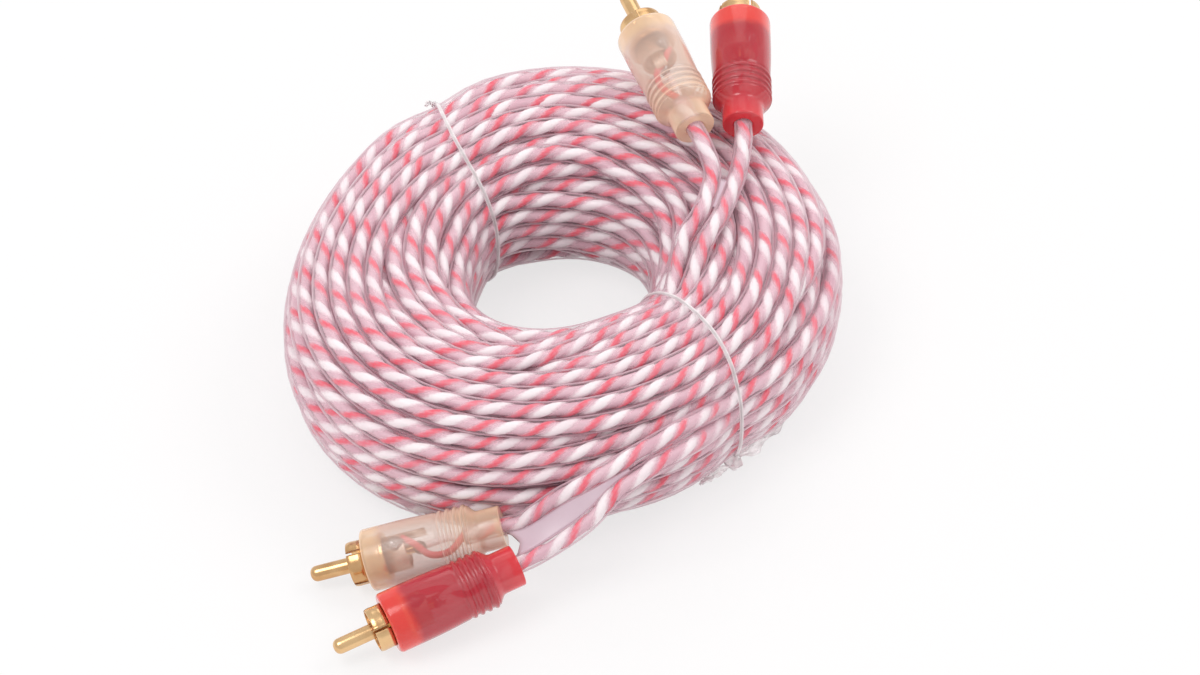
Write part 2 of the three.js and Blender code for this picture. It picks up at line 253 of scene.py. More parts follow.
# Each pair of ends is measured from one side of the coil, as in the CAD: its front on the floor, and its
# top. A plug has its mouth, the direction that its pin points in, its roll, the side of it where the ground
# core is soldered, in degrees, and the lead's route from the mouth. The route's last points are bedded in
# the coil, where the wound path takes over from them.
frontOfCoil = (0, -coil["outerRadius"], 0)
topOfCoil = (0, 0, coil["height"])
plugs = {
    "front_clear": {
        "from": frontOfCoil, "beddedPoints": 1, "mouth": (-11.1, -4.6, 13.6),
        "points": (-0.962, -0.09, -0.262), "roll": 60, "openSide": -122,
        "route": [(0.2, -3.2, 20.8), (5, -2.7, 23.8), (10, -1.1, 26.2), (16, 1.5, 28.6),
                  (22, 5.8, 29.1), (26.6, 10.8, 27.5), (30.6, 15.8, 25.5)],
    },
    "front_red": {
        "from": frontOfCoil, "beddedPoints": 1, "mouth": (-8.2, -13.9, 12.3),
        "points": (-0.903, -0.383, -0.195), "roll": 120, "openSide": 180,
        "route": [(5.1, -8.2, 17.8), (11.8, -3.9, 23.2), (17.8, -0.9, 26), (23.9, 3.7, 26.3),
                  (28.2, 8.9, 24.4), (32.1, 15, 21.8)],
    },
    "back_clear": {
        "from": topOfCoil, "beddedPoints": 2, "mouth": (27.6, 23.3, 7.2),
        "points": (-0.357, 0.931, 0.08), "roll": -20, "openSide": 2,
        "route": [(31, 13.6, 4.6), (30.2, 8.3, 3.3), (28.2, 2.9, 2.1), (25.2, -1.8, 0.2),
                  (22.6, -5.4, -2.8), (20.8, -8.6, -5.2)],
    },
    "back_red": {
        "from": topOfCoil, "beddedPoints": 2, "mouth": (37.5, 26.9, 4.7),
        "points": (-0.01, 0.995, 0.1), "roll": 30, "openSide": -31,
        "route": [(36.4, 15, 3), (34.6, 8.7, 2.3), (32.5, 2.7, 1.9), (29.8, -2.6, 1.2),
                  (27, -6.6, -0.8), (25, -10.8, -3)],
    },
}
leadSeatDepth = 8.0

coilMean = (coil["innerRadius"] + coil["outerRadius"]) / 2
halfWidth = (coil["outerRadius"] - coil["innerRadius"]) / 2
halfHeight = coil["height"] / 2
leadRadius = coil["leadDiameter"] / 2


# How far the wound coil is from round, which hand winding leaves
def ovalShare(bearing):
    oval = coil["oval"] * np.cos(2 * (bearing - math.radians(coil["ovalBearing"])))
    lobe = coil["lobe"] * np.cos(3 * (bearing - math.radians(coil["lobeBearing"])))
    return coil["swell"] + oval + lobe


def bend(value):
    return np.sign(value) * np.abs(value) ** (2 / coil["sectionExponent"])


# Bearing of a tie where it crosses a turn of this radius, since the ties lean a little
def bearingOf(tie, radius):
    return np.radians(tie["bearing"] + tie["lean"] * (radius - coilMean) / halfWidth)


# An angle brought to between minus and plus half a turn
def wrapped(angle):
    return (angle + math.pi) % (2 * math.pi) - math.pi


# Angle of the section's curve for each share of its length
sectionAngles = np.linspace(0, 2 * math.pi, 1441)
sectionLine = np.stack([halfWidth * bend(np.cos(sectionAngles)),
                        halfHeight * bend(np.sin(sectionAngles))], axis=1)
sectionLengths = lengthAlong(sectionLine)
sectionLength = sectionLengths[-1]


def onSection(share, margin):
    angle = np.interp(np.mod(share, 1.0) * sectionLength, sectionLengths, sectionAngles)
    radius = coilMean + (halfWidth + margin) * bend(np.cos(angle))
    height = halfHeight + (halfHeight + margin) * bend(np.sin(angle))
    return np.stack([radius, height], axis=-1)


def smoothStep(value):
    t = np.clip(value, 0, 1)
    return t * t * (3 - 2 * t)


# Share round the section, and layers down from the skin, at the start of each turn
def windingPlan():
    step = 1 / coil["skinSlots"]
    plan = [(coil["firstShare"] - slot * step, 0) for slot in range(coil["skinSlots"])
            if slot != coil["emptySkinSlot"]]
    sense = 1
    for depth, count in enumerate(coil["innerLayers"], start=1):
        begin = plan[-1][0]
        plan += [(begin + sense * (k + 1) / count, depth) for k in range(count)]
        sense = -sense
    last = coil["firstShare"] - coil["emptySkinSlot"] * step
    near = plan[-1][0]
    plan.append((last + round(near - last), 0))
    return plan


# Places, as radius and height, of both leads at each step round the coil
def woundPaths():
    rng = np.random.default_rng(coil["seed"])
    steps = coil["stepsPerTurn"]
    plan = windingPlan()
    turns = len(plan) - 1
    count = turns * steps + coil["endSteps"] + 1
    index = np.arange(count)
    bearing = np.radians(coil["startBearing"] + index * 360 / steps)
    turn = np.minimum(index // steps, turns - 1)
    share = np.clip((index - turn * steps) / steps, 0, 1)
    places = np.array(plan, dtype=float)
    start, end = places[turn], places[turn + 1]
    sameLayer = start[:, 1] == end[:, 1]
    ease = np.where(sameLayer, share, smoothStep(share / 0.5))
    where = start[:, 0] + (end[:, 0] - start[:, 0]) * share
    depth = start[:, 1] + (end[:, 1] - start[:, 1]) * ease

    # Neighbouring turns stray together, each a little in its own way
    for around, along in coil["wanderWaves"]:
        phase = rng.uniform(0, 2 * math.pi)
        size = coil["wander"] * rng.uniform(0.5, 1) / math.sqrt(along)
        where = where + size * np.sin(around * bearing + 2 * math.pi * along * where + phase)
    own = sum(rng.uniform(0.4, 1) * np.sin(index / steps * rate * 2 * math.pi + rng.uniform(0, 6.28))
              for rate in coil["strayWaves"])
    depth = depth + coil["strayDepth"] / coil["layerStep"] * np.abs(own) / 2

    rides = np.zeros(count)
    for which, begin, reach, slots in crossings:
        local = (index - which * steps) * 360 / steps - (begin - coil["startBearing"]) % 360
        slope = coil["rideRise"] * reach
        rise = smoothStep(local / slope) * smoothStep((reach - local) / slope)
        where = where + slots / coil["skinSlots"] * rise
        rides = np.maximum(rides, rise)
        depth = depth * (1 - rise)

    paths = []
    for side in (0.5, -0.5):
        offset = side * 1.02 * coil["leadDiameter"] / (sectionLength * (1 - 0.11 * (1 + depth)))
        paths.append(onSection(where + offset, -leadRadius - coil["layerStep"] * depth))
    return bearing, np.array(paths), rides


# The line of a free end in coil-centred mm, from inside its plug to where the wound path takes over
def freeEnd(plug, wound):
    base = np.array(plug["from"], dtype=float)
    mouth = base + plug["mouth"]
    forward = np.array(plug["points"]) / norm(plug["points"])
    seated = [mouth + forward * leadSeatDepth, mouth, mouth - forward * coil["leadDiameter"]]
    route = [base + point for point in plug["route"][:-plug["beddedPoints"]]]
    return catmullRom(seated + route + list(wound), coil["pointsPerSpan"])[:-coil["pointsPerSpan"] - 1]


# Wound places, given as radius and height, as points in coil-centred mm
def unrolled(bearing, path):
    reach = path[:, 0] * ovalShare(bearing)
    return np.stack([reach * np.cos(bearing), reach * np.sin(bearing), path[:, 1]], axis=1)


# Places that the free ends take in the slices next to the one where they join the coil
def guestPlaces(bearing, paths):
    steps = coil["stepsPerTurn"]
    guests = np.zeros((steps, 4, 2))
    present = np.zeros((steps, 4), dtype=bool)
    for side, key in enumerate(("clear", "red")):
        for end, wound in (("front", slice(0, 2)), ("back", slice(-1, -3, -1))):
            line = freeEnd(plugs[f"{end}_{key}"], unrolled(bearing[wound], paths[side][wound]))
            at = np.unwrap(np.arctan2(line[:, 1], line[:, 0]))
            join = bearing[wound][0]
            at += 2 * math.pi * round((join - at[-1]) / (2 * math.pi))
            radius = np.hypot(line[:, 0], line[:, 1]) / ovalShare(at)
            way = -1 if end == "front" else 1
            column = side + (0 if end == "front" else 2)
            order = np.argsort(at)
            for step in range(1, coil["guestSlices"] + 1):
                angle = join + way * step * 2 * math.pi / steps
                if at.min() < angle < at.max():
                    row = round((angle - bearing[0]) / (2 * math.pi / steps)) % steps
                    guests[row, column] = [np.interp(angle, at[order], value[order])
                                           for value in (radius, line[:, 2])]
                    present[row, column] = True
    return guests, present


def unit(vectors):
    return vectors / (norm(vectors, axis=-1, keepdims=True) + 1e-6)


# Leads push each other apart in every slice, keep near their twin, stay smooth and press to the skin
def settle(bearing, paths, rides, guests, present):
    steps = coil["stepsPerTurn"]
    count = len(bearing)
    rows = math.ceil(count / steps)
    padded = rows * steps
    oval = ovalShare(bearing)
    reach = [halfWidth - leadRadius, halfHeight - leadRadius]

    def slices(values):
        full = np.zeros((2, padded) + values.shape[2:])
        full[:, :count] = values
        return full.reshape((2 * rows, steps) + values.shape[2:]).swapaxes(0, 1)

    def unslice(values):
        return values.swapaxes(0, 1).reshape((2, padded) + values.shape[2:])[:, :count]

    stretch = np.ones(padded)
    stretch[:count] = oval
    stretch = stretch.reshape(rows, steps)[0][:, None, None]
    valid = slices(np.ones((2, count))) > 0
    both = valid[:, :, None] & valid[:, None, :] & ~np.eye(2 * rows, dtype=bool)
    riding = slices(np.broadcast_to(rides, (2, count)))
    over = riding[:, :, None] - riding[:, None, :]
    spacing = coil["leadDiameter"] * settling["spacing"]
    for _ in range(settling["rounds"]):
        spots = slices(paths)
        gap = spots[:, :, None] - spots[:, None, :]
        gap[..., 0] *= stretch
        distance = norm(gap, axis=-1) + 1e-6
        outward = unit(spots - [coilMean, halfHeight])
        heading = unit(gap / distance[..., None] + settling["climb"] * over[..., None] * outward[:, :, None])
        overlap = np.where(both, np.clip(spacing - distance, 0, None), 0)
        push = (heading * overlap[..., None] * settling["push"]).sum(axis=2)
        away = spots[:, :, None] - guests[:, None]
        away[..., 0] *= stretch
        near = norm(away, axis=-1) + 1e-6
        close = valid[:, :, None] & present[:, None]
        inTheWay = np.where(close, np.clip(spacing - near, 0, None), 0)
        push += (away / near[..., None] * inTheWay[..., None] * settling["guestPush"]).sum(axis=2)
        push[..., 0] /= stretch[..., 0]
        paths = paths + unslice(push)

        # Twin leads stay side by side
        between = paths[0] - paths[1]
        apart = norm(between * np.stack([oval, np.ones(count)], axis=1), axis=1)
        pull = between * ((apart - spacing) / apart)[:, None] * settling["twinPull"]
        paths = np.stack([paths[0] - pull, paths[1] + pull])

        # Smooth along the lead, apart from its first and last points
        for _ in range(settling["smoothingPasses"]):
            middle = (paths[:, :-2] + paths[:, 2:]) / 2
            paths[:, 1:-1] += settling["smoothing"] * (middle - paths[:, 1:-1])

        # Out to the skin, which the ties press in
        outer = paths - [coilMean, halfHeight]
        paths = paths + settling["outward"] * outer / (norm(outer, axis=-1, keepdims=True) + 1e-6)
        squeeze = 0
        for tie in ties.values():
            off = wrapped(bearing - bearingOf(tie, paths[..., 0]))
            near = off * paths[..., 0] / settling["tieSqueezeReach"]
            squeeze = np.maximum(squeeze, settling["tieSqueeze"] * np.exp(-near ** 2))
        outer = paths - [coilMean, halfHeight]
        room = np.stack([reach[0] - squeeze, reach[1] - squeeze], axis=-1)
        power = coil["sectionExponent"]
        fill = (np.abs(outer / room) ** power).sum(axis=-1) ** (1 / power)
        paths = [coilMean, halfHeight] + outer / np.maximum(fill, 1)[..., None]
    return paths


bearing, paths, rides = woundPaths()
paths = settle(bearing, paths, rides, *guestPlaces(bearing, paths))
print("coil wound and settled")


# Colours are written as sRGB hex
def linear(hexColour, alpha=1.0):
    channels = [int(hexColour[k:k + 2], 16) / 255 for k in (1, 3, 5)]
    return tuple(c / 12.92 if c <= 0.04045 else ((c + 0.055) / 1.055) ** 2.4 for c in channels) + (alpha,)


def addNode(material, kind, settings=None, inputs=None, links=None):
    node = material.node_tree.nodes.new(kind)
    for name, value in (settings or {}).items():
        setattr(node, name, value)
    for name, value in (inputs or {}).items():
        node.inputs[name].default_value = value
    for name, source in (links or {}).items():
        material.node_tree.links.new(source, node.inputs[name])
    return node


def newMaterial(name):
    material = bpy.data.materials.new(name)
    material.use_nodes = True
    material.node_tree.nodes.clear()
    return material


def finishMaterial(material, shader):
    addNode(material, "ShaderNodeOutputMaterial", links={"Surface": shader})
    return material


def setRamp(node, stops):
    ramp = node.color_ramp
    ramp.interpolation = "EASE"
    while len(ramp.elements) > 1:
        ramp.elements.remove(ramp.elements[-1])
    ramp.elements[0].position = stops[0][0]
    ramp.elements[0].color = linear(stops[0][1])
    for position, colour in stops[1:]:
        ramp.elements.new(position).color = linear(colour)
    return node.outputs["Color"]


# The lead: a clear PVC jacket extruded over a red and a white core that are twisted together in milky
# filler. The jacket magnifies them, so they are drawn as wide as they look through it.
lead = {
    "layLength": 10.9,  # mm
    "coreStep": 1.1,  # mm
    "coreInset": 0.5,  # mm from the lead's ends
    "coreSides": 8,
    "whiteRadius": 1.22,
    "whiteReach": 0.5,  # from the lead's middle to the core's
    "redRadius": 0.98,
    "redReach": 0.66,
    "hiddenBelow": 0.58,  # shares of the lead's radius between which a core comes out of the haze
    "clearAbove": 0.86,
    "veilDepth": 0.16,  # below clearAbove, where the haze tints the cores
    "veilLeast": 0.3,
    "coreFade": (0.35, 0.97),  # how obliquely a core is seen where it begins to fade, and where it is gone
    "fillerRadius": 1.22,
    "fillerSides": 8,
    "jacketSides": 12,
    "unevenLay": 0.35,  # radians for each of these waves
    "unevenWaves": (31.0, 53.0, 97.0),  # mm for a radian
    "jacketColour": "#e2c3cc",
    "jacketThin": "#d8b4bf",
    "jacketAlphaFacing": 0.1,
    "jacketAlphaGrazing": 0.97,
    "jacketFade": (0.2, 0.9),  # the same for where the jacket begins to turn milky, and where it is
    "jacketRoughness": 0.28,
    "jacketIor": 1.53,
    "fillerColour": "#e3bfc9",
    "fillerDull": "#d9aebb",
    "whiteColour": "#fffafb",
    "whiteDull": "#f8eef1",
    "redColour": "#f25468",
    "redDull": "#f2788a",
}


# How solid a plastic looks where it is seen square on, and along its edges
def edgeAlpha(material, facing, grazing, begins=0.1, ends=0.7):
    weight = addNode(material, "ShaderNodeLayerWeight", inputs={"Blend": 0.5})
    spread = addNode(material, "ShaderNodeMapRange", {"interpolation_type": "SMOOTHSTEP"},
                     inputs={"From Min": begins, "From Max": ends, "To Min": facing, "To Max": grazing},
                     links={"Value": weight.outputs["Facing"]})
    return spread.outputs["Result"]


def cloudColour(material, source, scale, stops):
    cloud = addNode(material, "ShaderNodeTexNoise", inputs={"Scale": scale, "Detail": 2.0},
                    links={"Vector": source})
    tone = addNode(material, "ShaderNodeValToRGB", links={"Fac": cloud.outputs["Fac"]})
    return setRamp(tone, stops)


# A noise over the object, and the bump that it gives
def noiseBump(material, scale, detail, strength, distance):
    place = addNode(material, "ShaderNodeTexCoord")
    noise = addNode(material, "ShaderNodeTexNoise", inputs={"Scale": scale, "Detail": detail},
                    links={"Vector": place.outputs["Object"]})
    bump = addNode(material, "ShaderNodeBump", inputs={"Strength": strength, "Distance": distance * mm},
                   links={"Height": noise.outputs["Fac"]})
    return noise.outputs["Fac"], bump.outputs["Normal"]


# A surface whose colour clouds a little from place to place
def clouded(material, scale, stops, inputs, links=None):
    place = addNode(material, "ShaderNodeTexCoord")
    colour = cloudColour(material, place.outputs["Object"], scale, stops)
    shader = addNode(material, "ShaderNodeBsdfPrincipled", inputs=inputs,
                     links={"Base Color": colour, **(links or {})})
    return finishMaterial(material, shader.outputs["BSDF"])


def clearPvcJacket():
    # Clear PVC, extruded: glossy, with a lilac cast that veils the cores, most of all along the edges
    m = newMaterial("clearPvcJacket")
    return clouded(m, 70.0, [(0.35, lead["jacketThin"]), (0.65, lead["jacketColour"])],
                   {"Roughness": lead["jacketRoughness"], "IOR": lead["jacketIor"],
                    "Coat Weight": 0.3, "Coat Roughness": 0.12},
                   {"Alpha": edgeAlpha(m, lead["jacketAlphaFacing"], lead["jacketAlphaGrazing"],
                                       *lead["jacketFade"])})


def matteAlongLead(name, colour, dull, blurred=False):
    # Solid-coloured plastic, matt under the jacket and clouded along the lead. The haze round a core hides
    # it little by little where it lies deeper in the lead.
    m = newMaterial(name)
    uv = addNode(m, "ShaderNodeUVMap", {"uv_map": "along"})
    stretch = addNode(m, "ShaderNodeMapping", inputs={"Scale": (0.7, 2.0, 1.0)},
                      links={"Vector": uv.outputs["UV"]})
    tone = cloudColour(m, stretch.outputs["Vector"], 1.0, [(0.3, dull), (0.6, colour)])
    shader = addNode(m, "ShaderNodeBsdfPrincipled", inputs={"Roughness": 0.5}, links={"Base Color": tone})
    if blurred:
        split = addNode(m, "ShaderNodeSeparateXYZ", links={"Vector": uv.outputs["UV"]})
        shown = addNode(m, "ShaderNodeMapRange", {"interpolation_type": "SMOOTHSTEP"},
                        inputs={"From Min": lead["hiddenBelow"], "From Max": lead["clearAbove"]},
                        links={"Value": split.outputs["Y"]})
        alpha = addNode(m, "ShaderNodeMath", {"operation": "MULTIPLY"},
                        links={0: shown.outputs["Result"], 1: edgeAlpha(m, 1.0, 0.0, *lead["coreFade"])})
        m.node_tree.links.new(alpha.outputs["Value"], shader.inputs["Alpha"])
        veil = addNode(m, "ShaderNodeMapRange", {"interpolation_type": "SMOOTHSTEP"},
                       inputs={"From Min": lead["clearAbove"] - lead["veilDepth"],
                               "From Max": lead["clearAbove"], "To Min": lead["veilLeast"]},
                       links={"Value": split.outputs["Y"]})
        veiled = addNode(m, "ShaderNodeMix", {"data_type": "RGBA"},
                         inputs={6: linear(lead["fillerColour"])},
                         links={0: veil.outputs["Result"], 7: tone})
        m.node_tree.links.new(veiled.outputs[2], shader.inputs["Base Color"])
    return finishMaterial(m, shader.outputs["BSDF"])


jacketMaterial = clearPvcJacket()
# Milky PVC, extruded round the cores: the pink ground that they show on
fillerMaterial = matteAlongLead("milkyPvcFiller", lead["fillerColour"], lead["fillerDull"])
# Polyethylene insulation in solid colour: the white and red streaks
whiteTones = (lead["whiteColour"], lead["whiteDull"])
redTones = (lead["redColour"], lead["redDull"])
whiteInHaze = matteAlongLead("whitePeInsulationInHaze", *whiteTones, blurred=True)
redInHaze = matteAlongLead("redPeInsulationInHaze", *redTones, blurred=True)
whiteBare = matteAlongLead("whitePeInsulation", *whiteTones)
redBare = matteAlongLead("redPeInsulation", *redTones)
seeThrough = ("clearPvcJacket", "whitePeInsulationInHaze", "redPeInsulationInHaze", "clearTieFilm")


# A core that winds left-handed round the lead's middle
def twistedCore(name, line, radius, reach, turnAt):
    length = lengthAlong(line)
    along = np.arange(lead["coreInset"] * mm, length[-1] - lead["coreInset"] * mm, lead["coreStep"] * mm)
    middle = pointsAt(line, length, along)
    _, side, over = carriedFrames(middle)
    drift = sum(np.sin(along / (wave * mm) + turnAt * wave) for wave in lead["unevenWaves"])
    drift = drift * lead["unevenLay"]
    angle = -2 * math.pi * along / (lead["layLength"] * mm) + drift + turnAt
    centre = middle + reach * mm * (np.cos(angle)[:, None] * side + np.sin(angle)[:, None] * over)
    return tube(name, centre, roundSection(radius, lead["coreSides"]), lead["layLength"], around=middle)


# The whole centreline of one lead, in metres, from inside its front plug through the coil to its back plug
def leadLine(bearing, path, front, back):
    wound = unrolled(bearing, path)
    head = freeEnd(front, wound[:2])
    tail = freeEnd(back, wound[:-3:-1])[::-1]
    return np.array([toFrame(p) for p in np.vstack([head, wound, tail])])


def dress(piece, material, slotName, *nodes):
    piece.data.materials.append(material)
    piece.visible_shadow = material.name not in seeThrough
    piece.visible_diffuse = piece.visible_shadow or material == jacketMaterial
    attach(piece, "root")
    if nodes:
        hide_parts(*nodes)
    return piece


leadLines = {}
leadPieces = {}
coreTurns = {"clear": 0.0, "red": 2.4}
for side, key in enumerate(("clear", "red")):
    line = leadLine(bearing, paths[side], plugs[f"front_{key}"], plugs[f"back_{key}"])
    jacket = tube(f"lead_{key}", line, roundSection(leadRadius, lead["jacketSides"]), lead["layLength"])
    dress(jacket, jacketMaterial, "jacket", "coil_bundle", f"front_{key}_lead", f"back_{key}_lead")
    fillerSection = roundSection(lead["fillerRadius"], lead["fillerSides"])
    filler = tube(f"filler_{key}", line, fillerSection, lead["layLength"])
    dress(filler, fillerMaterial, "jacket")
    turnAt = coreTurns[key]
    white = twistedCore(f"white_core_{key}", line, lead["whiteRadius"], lead["whiteReach"], turnAt)
    red = twistedCore(f"red_core_{key}", line, lead["redRadius"], lead["redReach"], turnAt + 2.8)
    dress(white, whiteInHaze, "white_core")
    dress(red, redInHaze, "red_core")
    leadLines[key] = line
    leadPieces[key] = [jacket, filler, white, red]
print("leads laid")


# Moulded plugs. Lengths in mm along the plug's own axis, from its mouth to the pin's tip, as in the CAD.
plug = {
    "bodyLength": 28.3,
    "neckRadius": 4.25,
    "neckLength": 4.8,
    "ribsStart": 6.4,
    "ribCount": 4,
    "ribPitch": 1.6,
    "ribRadius": 6.18,
    "ribWidth": 0.85,
    "grooveRadius": 5.78,
    "waistRadius": 6.0,
    "barrelRadius": 6.33,
    "barrelFull": 19.0,  # where the waist has widened to the barrel
    "boreGap": 0.03,
    "frontRound": 1.3,
    "flangeBack": 24.0,
    "flangeRadius": 5.0,
    "flangeThickness": 0.9,
    "collarRadius": 4.5,
    "collarWall": 0.45,
    "collarFront": 31.6,
    "slotWidth": 0.7,
    "slotLength": 3.6,
    "sleeveRadius": 3.7,
    "sleeveWall": 0.5,
    "sleeveLength": 4.3,
    "tongueLength": 4.0,
    "tongueWidth": 2.6,
    "pinRadius": 1.6,
    "pinTip": 40.0,
    "pinTipLength": 1.4,
    "pinTailRadius": 0.8,
    "pinTailLength": 4.0,
    "shankDepth": 3.6,
    "coreRadius": 0.7,
    "tailDrop": (1.25, 3.0),  # radius and length of the solder on the pin's tail
    "tongueDrop": (1.4, 4.2),
    "tongueDropPlace": (2.7, 21.6, 2.0),
    "turnSegments": 64,
}
plugSizes = SimpleNamespace(**plug)


# Corners given as radius, height and rounding, each turned into a short arc
def rounded(corners, arcSteps=4):
    points = []
    for k, (radius, height, size) in enumerate(corners):
        here = np.array((radius, height), dtype=float)
        if size == 0 or k in (0, len(corners) - 1):
            points.append(tuple(here))
            continue
        before = np.array(corners[k - 1][:2]) - here
        after = np.array(corners[k + 1][:2]) - here
        reach = min(size, norm(before) * 0.49, norm(after) * 0.49)
        start = here + before / norm(before) * reach
        end = here + after / norm(after) * reach
        for t in np.linspace(0, 1, arcSteps + 1):
            points.append(tuple((1 - t) ** 2 * start + 2 * t * (1 - t) * here + t ** 2 * end))
    return points


# Vertices and faces of an outline turned round the plug's axis, the whole way or a part of it
def turned(outline, closed=False, start=0.0, sweep=360.0, segments=None):
    segments = segments or plug["turnSegments"]
    whole = sweep == 360.0
    count = segments if whole else segments + 1
    angles = np.radians(start + sweep * np.arange(count) / segments)
    verts = [(r * math.sin(a), h, r * math.cos(a)) for r, h in outline for a in angles]
    pairs = [(k, k + 1) for k in range(len(outline) - 1)] + ([(len(outline) - 1, 0)] if closed else [])
    faces = []
    for low, high in pairs:
        for j in range(segments):
            beside = (j + 1) % count
            faces.append((low * count + j, low * count + beside, high * count + beside, high * count + j))
    if not whole:
        faces.append(tuple(k * count for k in range(len(outline)))[::-1])
        faces.append(tuple(k * count + count - 1 for k in range(len(outline))))
    return verts, faces


def joined(*solids):
    verts, faces = [], []
    for solidVerts, solidFaces in solids:
        faces += [tuple(index + len(verts) for index in face) for face in solidFaces]
        verts += solidVerts
    return verts, faces


def plugPlacement(place):
    forward = Vector(place["points"]).normalized()
    roll = Quaternion((0, 1, 0), math.radians(place["roll"]))
    turn = Vector((0, 1, 0)).rotation_difference(forward) @ roll
    base = Vector(place["from"]) + Vector(place["mouth"])
    return lambda point: toFrame(base + turn @ Vector(point))


def bodyShape():
    p = plugSizes
    bore = leadRadius + p.boreGap
    corners = [(bore, 1.5, 0), (bore, 0, 0.3), (p.neckRadius, 0, 0.35),
               (p.neckRadius, p.neckLength, 0.6), (p.grooveRadius, p.ribsStart - 0.2, 0.5)]
    for rib in range(p.ribCount):
        start = p.ribsStart + rib * p.ribPitch
        corners += [(p.grooveRadius, start + 0.1, 0.15), (p.ribRadius, start + 0.3, 0.25),
                    (p.ribRadius, start + p.ribWidth, 0.25),
                    (p.grooveRadius, start + p.ribWidth + 0.3, 0.2)]
    ribsEnd = p.ribsStart + p.ribCount * p.ribPitch
    front = p.collarRadius + 0.05
    corners += [(p.waistRadius, ribsEnd + 0.15, 0.4), (p.barrelRadius, p.barrelFull, 3),
                (p.barrelRadius, p.bodyLength, p.frontRound), (front, p.bodyLength, 0.25),
                (front, p.flangeBack + p.flangeThickness, 0)]
    return turned(rounded(corners))


def shellShape():
    p = plugSizes
    flangeFront = p.flangeBack + p.flangeThickness
    inner = p.sleeveRadius - p.sleeveWall
    collarInner = p.collarRadius - p.collarWall
    slotBack = p.collarFront - p.slotLength
    base = turned(rounded([(inner, p.flangeBack, 0), (p.flangeRadius, p.flangeBack, 0.2),
                           (p.flangeRadius, flangeFront, 0.2), (p.collarRadius, flangeFront, 0.2),
                           (p.collarRadius, slotBack, 0), (collarInner, slotBack, 0),
                           (collarInner, flangeFront - 0.3, 0), (inner, flangeFront - 0.3, 0)]), closed=True)
    half = math.degrees(math.asin(p.slotWidth / 2 / p.collarRadius))
    outer, front = p.collarRadius, p.collarFront
    finger = rounded([(collarInner, slotBack, 0), (outer, slotBack, 0), (outer, slotBack + 1.9, 1.0),
                      (outer + 0.06, front - 0.7, 0.5), (outer - 0.12, front, 0.25),
                      (collarInner, front, 0.1), (collarInner, slotBack + 1.0, 0)])
    fingers = [turned(finger, closed=True, start=90 * k + half, sweep=90 - 2 * half, segments=16)
               for k in range(4)]
    return joined(base, *fingers)


# The shell's sleeve and its solder tongue, which are tinned
def cupShape():
    p = plugSizes
    inner = p.sleeveRadius - p.sleeveWall
    sleeveBack = p.flangeBack - p.sleeveLength
    sleeve = turned(rounded([(inner, sleeveBack, 0), (p.sleeveRadius, sleeveBack, 0.12),
                             (p.sleeveRadius, p.flangeBack, 0), (inner, p.flangeBack, 0)]),
                    closed=True)
    tongueHalf = math.degrees(math.asin(p.tongueWidth / 2 / p.sleeveRadius))
    tongueBack = sleeveBack - p.tongueLength
    tongueOutline = [(inner, tongueBack), (p.sleeveRadius, tongueBack), (p.sleeveRadius, sleeveBack),
                     (inner, sleeveBack)]
    tongue = turned(tongueOutline, closed=True, start=-tongueHalf, sweep=2 * tongueHalf, segments=8)
    return joined(sleeve, tongue)


def pinShape():
    p = plugSizes
    shankBack = p.flangeBack - p.shankDepth
    tipStart = p.pinTip - p.pinTipLength
    tail = shankBack - p.pinTailLength
    corners = [(0.01, tail, 0), (p.pinTailRadius, tail, 0.2), (p.pinTailRadius, shankBack, 0),
               (p.pinRadius, shankBack, 0.2), (p.pinRadius, tipStart - 0.3, 0)]
    tip = [(p.pinRadius * math.cos(a) ** 0.8, tipStart + p.pinTipLength * math.sin(a), 0)
           for a in np.linspace(0.1, math.pi / 2 - 0.02, 9)]
    return turned(rounded(corners + tip))


def insulatorShape():
    p = plugSizes
    stem = p.sleeveRadius - p.sleeveWall - 0.1
    rim = p.collarRadius - p.collarWall - 0.05
    seat = p.flangeBack + p.flangeThickness
    back = p.flangeBack - p.shankDepth + 0.3
    return turned(rounded([(p.pinRadius, back, 0), (stem, back, 0.2), (stem, seat, 0), (rim, seat, 0.15),
                           (rim, seat + 1.0, 0.25), (p.pinRadius + 0.25, seat + 1.0, 0.2),
                           (p.pinRadius, seat + 0.7, 0)]), closed=True)


# A drop of solder, longer than it is thick and a little lopsided
def solderShape(middle, radius, length):
    points = [(max(0.01, radius * math.sin(a)), -length / 2 * math.cos(a))
              for a in np.linspace(0.01, math.pi - 0.01, 12)]
    verts, faces = turned(points, segments=20)
    moved = [(x * (1 + 0.15 * math.sin(2 * y)) + middle[0], y + middle[1],
              z * (1 + 0.2 * math.cos(1.7 * y)) + middle[2]) for x, y, z in verts]
    return moved, faces


def metal(name, colour, dull, roughness, patch):
    # Plated or tinned metal, whose fine grain makes it rougher in some places than in others
    m = newMaterial(name)
    grain, grained = noiseBump(m, patch, 4.0, 0.08, 0.02)
    rough = addNode(m, "ShaderNodeMapRange", inputs={"To Min": roughness * 0.7, "To Max": roughness * 1.4},
                    links={"Value": grain})
    return clouded(m, patch / 3, [(0.3, dull), (0.65, colour)], {"Metallic": 1.0},
                   {"Roughness": rough.outputs["Result"], "Normal": grained})


